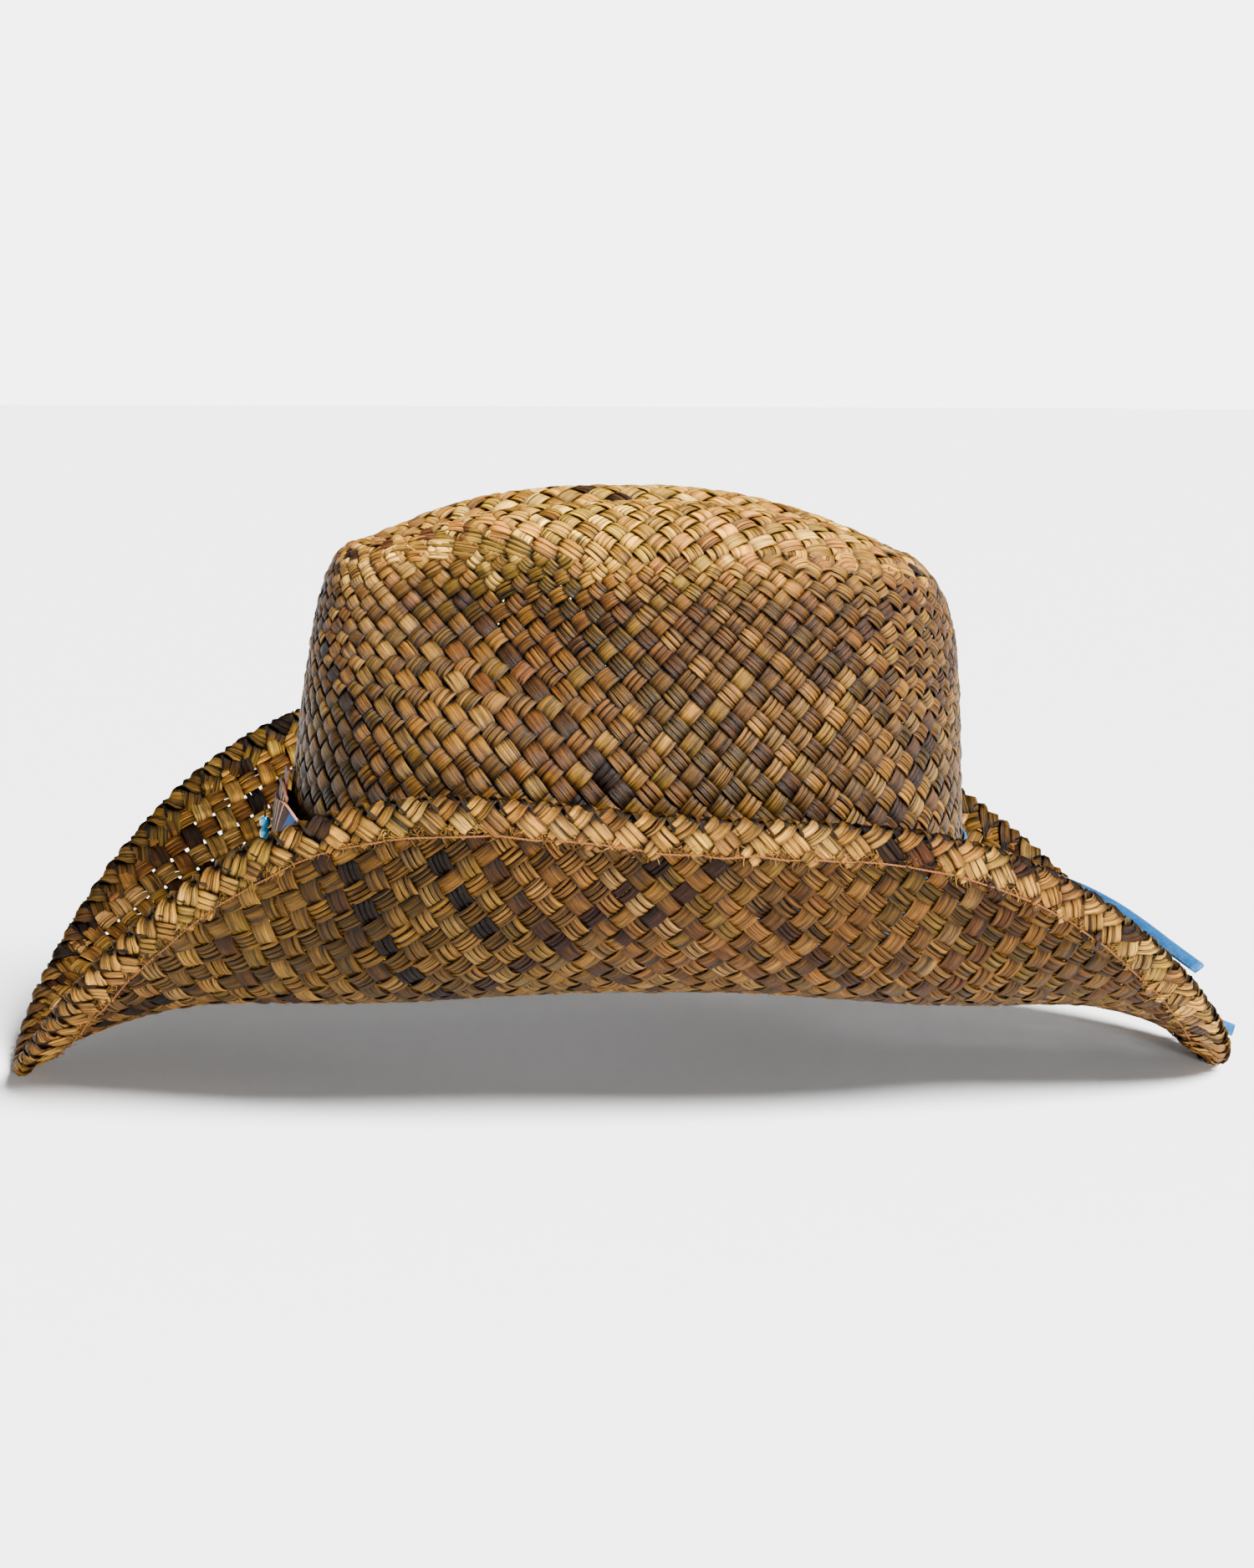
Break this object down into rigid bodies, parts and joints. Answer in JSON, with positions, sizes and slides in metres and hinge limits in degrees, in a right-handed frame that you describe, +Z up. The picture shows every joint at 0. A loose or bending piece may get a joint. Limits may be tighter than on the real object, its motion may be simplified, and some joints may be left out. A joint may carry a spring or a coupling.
{
  "type": "cowboy hat",
  "caption": "Woven raffia cowboy hat with a pinched crown, side-rolled brim, suede band with lace tails, and a leather and bead ornament.",
  "frame": {"origin": "middle of the hat's footprint, on the surface that the front and back tips of the brim rest on", "axes": "+Z up, -Y towards the front of the hat, +X towards the wearer's left"},
  "size_m": [0.292, 0.3846, 0.1765],
  "materials": {
    "raffia": "woven raffia in mixed tan, ochre, olive and dark brown strands, slightly glossy",
    "raffia_hem": "folded raffia strand ends, pinkish tan",
    "wire": "plain drawn wire",
    "thread": "twisted tan thread",
    "sweatband": "smooth brown",
    "suede": "blue suede, napped and matt",
    "painted_leather": "dark brown with cream and blue rays, raw peach edge",
    "bead": "glossy turquoise"
  },
  "bodies": {
    "root": {"crown": "raffia", "brim": "raffia", "hem": "raffia_hem", "hem_wire": "wire", "hem_stitching": "thread", "sweatband": "sweatband", "sweatband_stitching": "thread", "hatband": "suede", "hatband_knot": "suede", "lace_tail_left": "suede", "lace_tail_right": "suede", "fan_rear": "painted_leather", "fan_middle": "painted_leather", "fan_front": "painted_leather", "bead_lower": "bead", "bead_upper": "bead", "bead_thread": "thread"}
  },
  "joints": []
}
